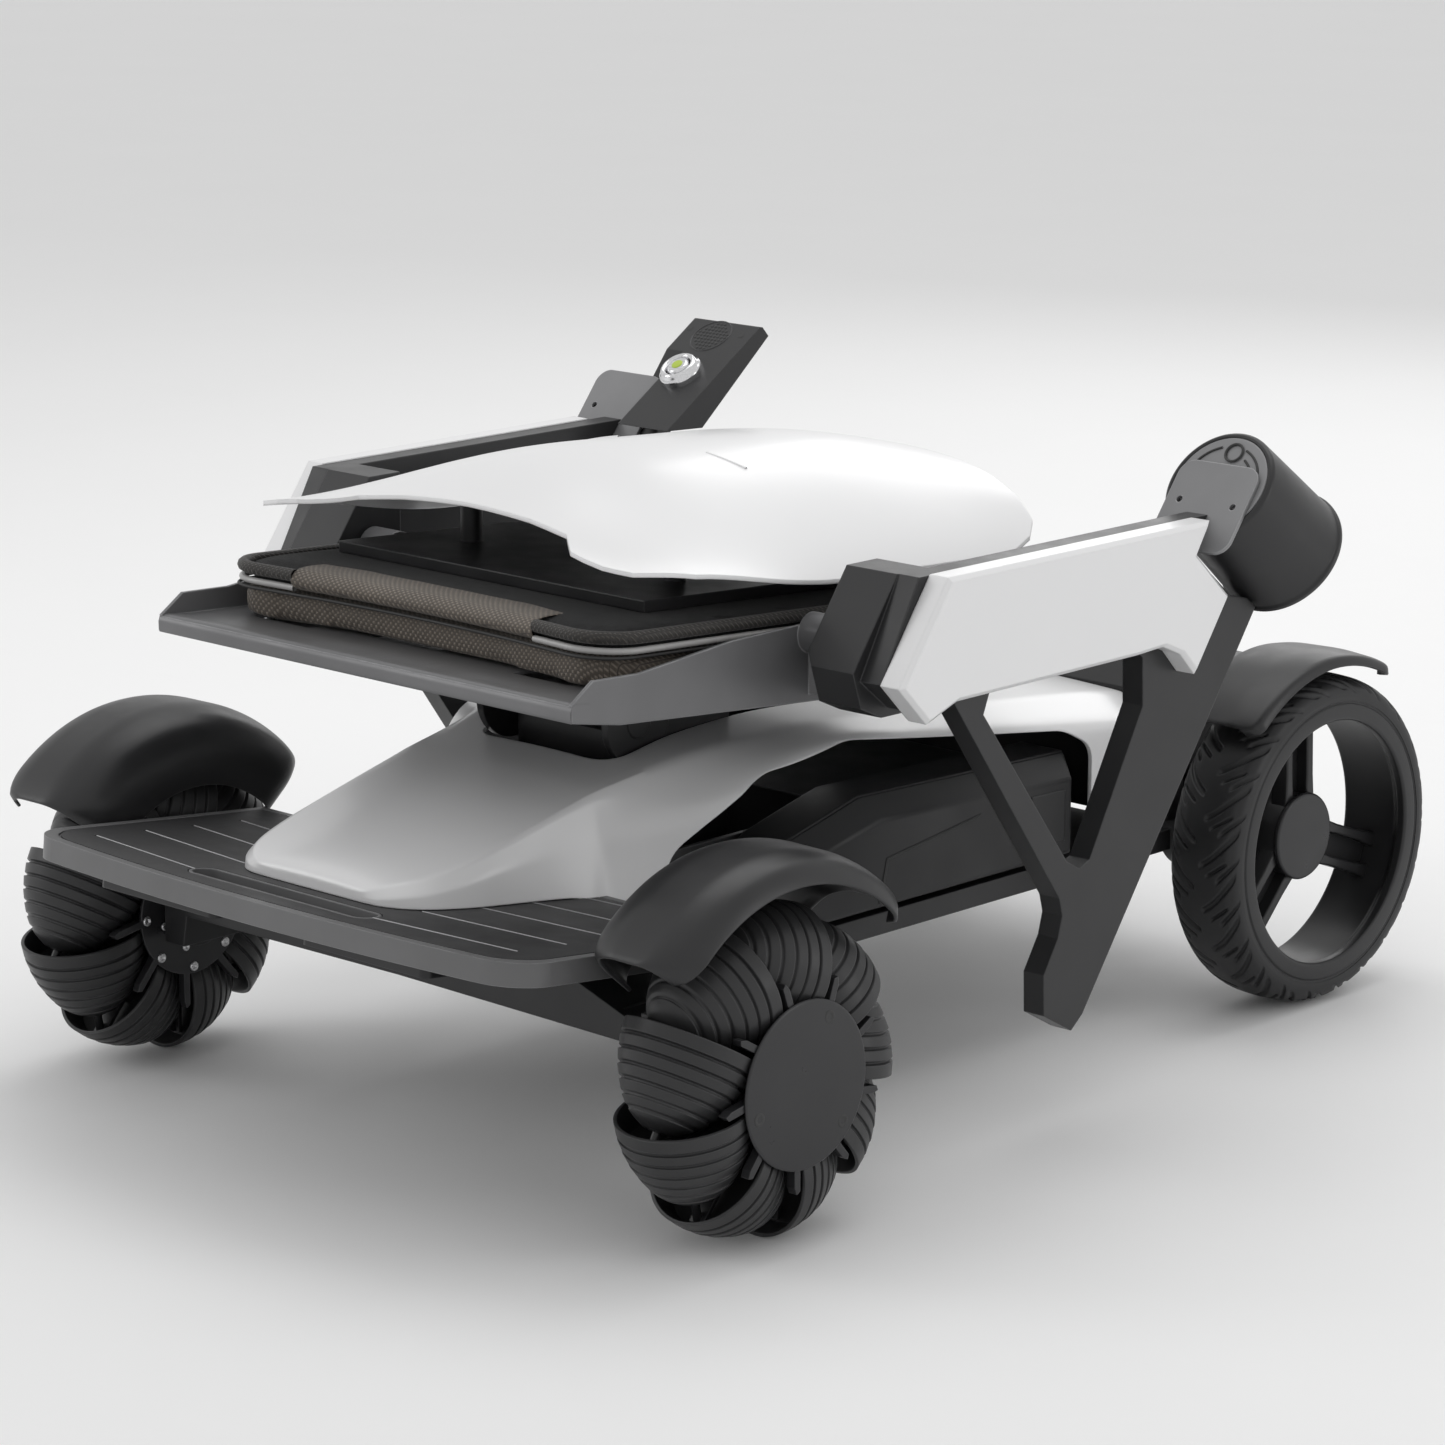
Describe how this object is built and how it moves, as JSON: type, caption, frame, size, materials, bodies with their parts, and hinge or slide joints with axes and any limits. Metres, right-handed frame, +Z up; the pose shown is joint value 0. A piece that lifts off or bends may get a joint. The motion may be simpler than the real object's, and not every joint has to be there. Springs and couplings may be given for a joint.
{
  "type": "four wheel robot chassis",
  "caption": "Folding powered mobility base: crowned omni front wheels, treaded rear wheels, white body, folded seat, arms with cup holder and controller.",
  "frame": {"origin": "centre of the footprint on the ground", "axes": "+Z up, -Y is the front with the footplate, +X is the rider's left"},
  "size_m": [0.693, 0.9796, 0.4819],
  "materials": {
    "white_gloss": "satin gloss",
    "dark_plastic": "matte",
    "battery_black": "matte",
    "tread_mat": "matte",
    "dark_metal": "satin",
    "pan_grey": "satin",
    "bracket_grey": "satin",
    "bright_metal": "brushed",
    "chrome": "polished",
    "mesh_fabric": "woven",
    "black_fleece": "fleece",
    "roller_rubber": "matte",
    "tyre_black": "matte",
    "rim_dark": "matte",
    "hub_dark": "satin",
    "rubber_black": "matte"
  },
  "bodies": {
    "chassis": {"base_frame": "dark_plastic", "body_cover": "white_gloss", "battery_left": "battery_black", "battery_right": "battery_black", "footplate": "dark_plastic", "footplate_mat": "tread_mat", "footplate_rails": "dark_metal", "front_axle_beam": "dark_metal", "front_axles": "dark_metal", "front_fenders": "dark_plastic", "rear_fenders": "dark_plastic", "rear_motors": "dark_metal", "rear_cover": "dark_plastic", "control_unit": "dark_plastic", "seat_bracket": "dark_metal", "seat_pan": "pan_grey", "seat_cushion": "mesh_fabric", "arm_pins": "bright_metal", "seat_bolts": "bright_metal"},
    "back": {"back_frame": "dark_metal", "back_shell": "white_gloss", "back_cushion": "black_fleece"},
    "arm_left": {"arm_frame_left": "dark_plastic", "arm_cover_left": "white_gloss", "arm_bracket_left": "bracket_grey", "cup_holder": "dark_plastic"},
    "arm_right": {"arm_frame_right": "dark_plastic", "arm_cover_right": "white_gloss", "arm_bracket_right": "bracket_grey", "controller_housing": "dark_plastic"},
    "release_button": {"release_button": "chrome"},
    "thumb_stick": {"thumb_stick": "rubber_black"},
    "front_wheel_left": {"omni_hub_left": "hub_dark", "omni_cover_left": "hub_dark"},
    "roller_1_left": {"roller_1_left": "roller_rubber"},
    "roller_2_left": {"roller_2_left": "roller_rubber"},
    "roller_3_left": {"roller_3_left": "roller_rubber"},
    "roller_4_left": {"roller_4_left": "roller_rubber"},
    "roller_5_left": {"roller_5_left": "roller_rubber"},
    "roller_6_left": {"roller_6_left": "roller_rubber"},
    "roller_7_left": {"roller_7_left": "roller_rubber"},
    "roller_8_left": {"roller_8_left": "roller_rubber"},
    "roller_9_left": {"roller_9_left": "roller_rubber"},
    "rear_wheel_left": {"rear_tyre_left": "tyre_black", "rear_rim_left": "rim_dark", "wheel_cap_left": "hub_dark"},
    "front_wheel_right": {"omni_hub_right": "hub_dark", "omni_cover_right": "hub_dark"},
    "roller_1_right": {"roller_1_right": "roller_rubber"},
    "roller_2_right": {"roller_2_right": "roller_rubber"},
    "roller_3_right": {"roller_3_right": "roller_rubber"},
    "roller_4_right": {"roller_4_right": "roller_rubber"},
    "roller_5_right": {"roller_5_right": "roller_rubber"},
    "roller_6_right": {"roller_6_right": "roller_rubber"},
    "roller_7_right": {"roller_7_right": "roller_rubber"},
    "roller_8_right": {"roller_8_right": "roller_rubber"},
    "roller_9_right": {"roller_9_right": "roller_rubber"},
    "rear_wheel_right": {"rear_tyre_right": "tyre_black", "rear_rim_right": "rim_dark", "wheel_cap_right": "hub_dark"}
  },
  "joints": [
    {"name": "front_wheel_left_spin", "type": "hinge", "parent": "chassis", "child": "front_wheel_left", "pos_m": [0.3, -0.31573, 0.1115], "axis": [1, 0, 0], "continuous": true},
    {"name": "roller_1_left_spin", "type": "hinge", "parent": "front_wheel_left", "child": "roller_1_left", "pos_m": [0.3, -0.25771, 0.145], "axis": [0, -0.5, 0.866], "continuous": true},
    {"name": "roller_2_left_spin", "type": "hinge", "parent": "front_wheel_left", "child": "roller_2_left", "pos_m": [0.3, -0.29282, 0.17446], "axis": [0, -0.9397, 0.342], "continuous": true},
    {"name": "roller_3_left_spin", "type": "hinge", "parent": "front_wheel_left", "child": "roller_3_left", "pos_m": [0.3, -0.33865, 0.17446], "axis": [0, -0.9397, -0.342], "continuous": true},
    {"name": "roller_4_left_spin", "type": "hinge", "parent": "front_wheel_left", "child": "roller_4_left", "pos_m": [0.3, -0.37376, 0.145], "axis": [0, -0.5, -0.866], "continuous": true},
    {"name": "roller_5_left_spin", "type": "hinge", "parent": "front_wheel_left", "child": "roller_5_left", "pos_m": [0.3, -0.38172, 0.09987], "axis": [0, 0.1736, -0.9848], "continuous": true},
    {"name": "roller_6_left_spin", "type": "hinge", "parent": "front_wheel_left", "child": "roller_6_left", "pos_m": [0.3, -0.3588, 0.06017], "axis": [0, 0.766, -0.6428], "continuous": true},
    {"name": "roller_7_left_spin", "type": "hinge", "parent": "front_wheel_left", "child": "roller_7_left", "pos_m": [0.3, -0.31573, 0.0445], "axis": [0, 1, 0], "continuous": true},
    {"name": "roller_8_left_spin", "type": "hinge", "parent": "front_wheel_left", "child": "roller_8_left", "pos_m": [0.3, -0.27267, 0.06017], "axis": [0, 0.766, 0.6428], "continuous": true},
    {"name": "roller_9_left_spin", "type": "hinge", "parent": "front_wheel_left", "child": "roller_9_left", "pos_m": [0.3, -0.24975, 0.09987], "axis": [0, 0.1736, 0.9848], "continuous": true},
    {"name": "rear_wheel_left_drive", "type": "hinge", "parent": "chassis", "child": "rear_wheel_left", "pos_m": [0.221, 0.36486, 0.125], "axis": [1, 0, 0], "continuous": true},
    {"name": "arm_left_fold", "type": "hinge", "parent": "chassis", "child": "arm_left", "pos_m": [0.256, -0.15784, 0.36], "axis": [1, 0, 0], "range_deg": [0, 125]},
    {"name": "front_wheel_right_spin", "type": "hinge", "parent": "chassis", "child": "front_wheel_right", "pos_m": [-0.3, -0.31573, 0.1115], "axis": [1, 0, 0], "continuous": true},
    {"name": "roller_1_right_spin", "type": "hinge", "parent": "front_wheel_right", "child": "roller_1_right", "pos_m": [-0.3, -0.25771, 0.145], "axis": [0, -0.5, 0.866], "continuous": true},
    {"name": "roller_2_right_spin", "type": "hinge", "parent": "front_wheel_right", "child": "roller_2_right", "pos_m": [-0.3, -0.29282, 0.17446], "axis": [0, -0.9397, 0.342], "continuous": true},
    {"name": "roller_3_right_spin", "type": "hinge", "parent": "front_wheel_right", "child": "roller_3_right", "pos_m": [-0.3, -0.33865, 0.17446], "axis": [0, -0.9397, -0.342], "continuous": true},
    {"name": "roller_4_right_spin", "type": "hinge", "parent": "front_wheel_right", "child": "roller_4_right", "pos_m": [-0.3, -0.37376, 0.145], "axis": [0, -0.5, -0.866], "continuous": true},
    {"name": "roller_5_right_spin", "type": "hinge", "parent": "front_wheel_right", "child": "roller_5_right", "pos_m": [-0.3, -0.38172, 0.09987], "axis": [0, 0.1736, -0.9848], "continuous": true},
    {"name": "roller_6_right_spin", "type": "hinge", "parent": "front_wheel_right", "child": "roller_6_right", "pos_m": [-0.3, -0.3588, 0.06017], "axis": [0, 0.766, -0.6428], "continuous": true},
    {"name": "roller_7_right_spin", "type": "hinge", "parent": "front_wheel_right", "child": "roller_7_right", "pos_m": [-0.3, -0.31573, 0.0445], "axis": [0, 1, 0], "continuous": true},
    {"name": "roller_8_right_spin", "type": "hinge", "parent": "front_wheel_right", "child": "roller_8_right", "pos_m": [-0.3, -0.27267, 0.06017], "axis": [0, 0.766, 0.6428], "continuous": true},
    {"name": "roller_9_right_spin", "type": "hinge", "parent": "front_wheel_right", "child": "roller_9_right", "pos_m": [-0.3, -0.24975, 0.09987], "axis": [0, 0.1736, 0.9848], "continuous": true},
    {"name": "rear_wheel_right_drive", "type": "hinge", "parent": "chassis", "child": "rear_wheel_right", "pos_m": [-0.221, 0.36486, 0.125], "axis": [1, 0, 0], "continuous": true},
    {"name": "arm_right_fold", "type": "hinge", "parent": "chassis", "child": "arm_right", "pos_m": [-0.256, -0.15784, 0.36], "axis": [1, 0, 0], "range_deg": [0, 125]},
    {"name": "back_fold", "type": "hinge", "parent": "chassis", "child": "back", "pos_m": [0, 0.11717, 0.352], "axis": [-1, 0, 0], "range_deg": [0, 105]},
    {"name": "button_press", "type": "slide", "parent": "arm_right", "child": "release_button", "axis": [0, 0.5505, -0.8348], "range_m": [0, 0.003], "stiffness_N_per_m": 400, "springref_m": -0.001},
    {"name": "stick_tilt", "type": "hinge", "parent": "arm_right", "child": "thumb_stick", "pos_m": [-0.236, 0.19445, 0.44839], "axis": [1, 0, 0], "range_deg": [-18, 18], "stiffness_Nm_per_rad": 0.08}
  ]
}
